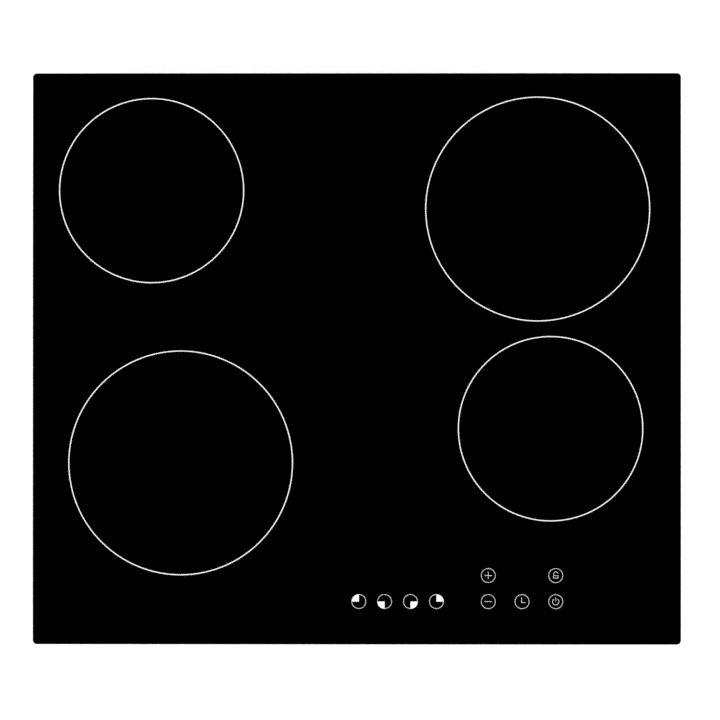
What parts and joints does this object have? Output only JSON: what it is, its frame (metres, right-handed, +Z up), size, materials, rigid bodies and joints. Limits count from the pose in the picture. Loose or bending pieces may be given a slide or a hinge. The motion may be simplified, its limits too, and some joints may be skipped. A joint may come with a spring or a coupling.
{
  "type": "built-in induction cooktop",
  "caption": "Built-in induction cooktop: black glass with printed round zones and touch-key symbols, over a steel tray with sprung coils, fans and boards.",
  "frame": {"origin": "centre of the glass and tray in plan, on the plane the pressed feet stand on", "axes": "+X to the cook's right, +Y to the back, +Z up through the glass"},
  "size_m": [0.59, 0.52, 0.06],
  "materials": {
    "black_glass": "polished",
    "white_print": "satin",
    "seal_foam": "matte",
    "aluminium": "satin",
    "galvanised_steel": "satin",
    "brass": "satin",
    "plated_screws": "satin",
    "post_steel": "satin",
    "spring_steel": "satin",
    "copper_litz": "satin",
    "coil_plastic": "matte",
    "ferrite": "matte",
    "mica": "matte",
    "sensor_ceramic": "satin",
    "lead_sleeve": "matte",
    "light_plastic": "matte",
    "circuit_board": "satin",
    "heatsink_aluminium": "satin",
    "chip_plastic": "matte",
    "capacitor_plastic": "satin",
    "choke_copper": "satin",
    "fan_plastic": "satin",
    "black_plastic": "satin",
    "contact_spring": "satin",
    "ribbon_grey": "satin",
    "box_plastic": "satin",
    "terminal_plastic": "satin",
    "wire_brown": "satin",
    "bracket_steel": "satin"
  },
  "bodies": {
    "hob": {"glass_plate": "black_glass", "zone_rings": "white_print", "control_symbols": "white_print", "worktop_seal": "seal_foam", "frame_rails": "aluminium", "base_tray": "galvanised_steel", "coil_plate": "aluminium", "plate_standoffs": "brass", "assembly_screws": "plated_screws", "guide_posts": "post_steel", "coil_springs": "spring_steel", "coil_leads": "lead_sleeve", "board_tray_left": "light_plastic", "board_tray_right": "light_plastic", "power_board_left": "circuit_board", "power_board_right": "circuit_board", "heatsink_left": "heatsink_aluminium", "heatsink_right": "heatsink_aluminium", "power_transistors": "chip_plastic", "film_capacitors": "capacitor_plastic", "choke_coils": "choke_copper", "fan_housing_left": "fan_plastic", "fan_housing_right": "fan_plastic", "control_holder": "black_plastic", "control_board": "circuit_board", "touch_springs": "contact_spring", "display_modules": "chip_plastic", "ribbon_cable": "ribbon_grey", "terminal_box": "box_plastic", "terminal_block": "terminal_plastic", "cable_gland": "black_plastic", "wiring_harness": "wire_brown", "clamp_screws": "plated_screws"},
    "coil_rear_left": {"coil_carrier_rear_left": "coil_plastic", "ferrite_bars_rear_left": "ferrite", "coil_winding_rear_left": "copper_litz", "mica_disc_rear_left": "mica", "zone_sensor_rear_left": "sensor_ceramic"},
    "coil_rear_right": {"coil_carrier_rear_right": "coil_plastic", "ferrite_bars_rear_right": "ferrite", "coil_winding_rear_right": "copper_litz", "mica_disc_rear_right": "mica", "zone_sensor_rear_right": "sensor_ceramic"},
    "coil_front_left": {"coil_carrier_front_left": "coil_plastic", "ferrite_bars_front_left": "ferrite", "coil_winding_front_left": "copper_litz", "mica_disc_front_left": "mica", "zone_sensor_front_left": "sensor_ceramic"},
    "coil_front_right": {"coil_carrier_front_right": "coil_plastic", "ferrite_bars_front_right": "ferrite", "coil_winding_front_right": "copper_litz", "mica_disc_front_right": "mica", "zone_sensor_front_right": "sensor_ceramic"},
    "fan_left": {"fan_rotor_left": "fan_plastic"},
    "fan_right": {"fan_rotor_right": "fan_plastic"},
    "clamp_rear_left": {"clamp_bracket_rear_left": "bracket_steel"},
    "clamp_rear_right": {"clamp_bracket_rear_right": "bracket_steel"},
    "clamp_front_left": {"clamp_bracket_front_left": "bracket_steel"},
    "clamp_front_right": {"clamp_bracket_front_right": "bracket_steel"},
    "cover": {"terminal_cover": "black_plastic"}
  },
  "joints": [
    {"name": "coil_float_rear_left", "type": "slide", "parent": "hob", "child": "coil_rear_left", "axis": [0, 0, 1], "range_m": [-0.003, 0], "stiffness_N_per_m": 2400, "springref_m": 0.006, "deforming": ["coil_springs", "coil_leads"]},
    {"name": "coil_float_rear_right", "type": "slide", "parent": "hob", "child": "coil_rear_right", "axis": [0, 0, 1], "range_m": [-0.003, 0], "stiffness_N_per_m": 2400, "springref_m": 0.006, "deforming": ["coil_springs", "coil_leads"]},
    {"name": "coil_float_front_left", "type": "slide", "parent": "hob", "child": "coil_front_left", "axis": [0, 0, 1], "range_m": [-0.003, 0], "stiffness_N_per_m": 2400, "springref_m": 0.006, "deforming": ["coil_springs", "coil_leads"]},
    {"name": "coil_float_front_right", "type": "slide", "parent": "hob", "child": "coil_front_right", "axis": [0, 0, 1], "range_m": [-0.003, 0], "stiffness_N_per_m": 2400, "springref_m": 0.006, "deforming": ["coil_springs", "coil_leads"]},
    {"name": "fan_spin_left", "type": "hinge", "parent": "hob", "child": "fan_left", "pos_m": [-0.15, 0.15, 0.02], "axis": [0, 0, 1], "continuous": true},
    {"name": "fan_spin_right", "type": "hinge", "parent": "hob", "child": "fan_right", "pos_m": [0.15, 0.15, 0.02], "axis": [0, 0, 1], "continuous": true},
    {"name": "clamp_swivel_rear_left", "type": "hinge", "parent": "hob", "child": "clamp_rear_left", "pos_m": [-0.26, 0.172, 0.0047], "axis": [0, 0, -1], "range_deg": [0, 90]},
    {"name": "clamp_swivel_rear_right", "type": "hinge", "parent": "hob", "child": "clamp_rear_right", "pos_m": [0.26, 0.172, 0.0047], "axis": [0, 0, 1], "range_deg": [0, 90]},
    {"name": "clamp_swivel_front_left", "type": "hinge", "parent": "hob", "child": "clamp_front_left", "pos_m": [-0.26, -0.172, 0.0047], "axis": [0, 0, 1], "range_deg": [0, 90]},
    {"name": "clamp_swivel_front_right", "type": "hinge", "parent": "hob", "child": "clamp_front_right", "pos_m": [0.26, -0.172, 0.0047], "axis": [0, 0, -1], "range_deg": [0, 90]},
    {"name": "terminal_cover_hinge", "type": "hinge", "parent": "hob", "child": "cover", "pos_m": [0, 0.163, 0.0036], "axis": [-1, 0, 0], "range_deg": [0, 100]}
  ]
}
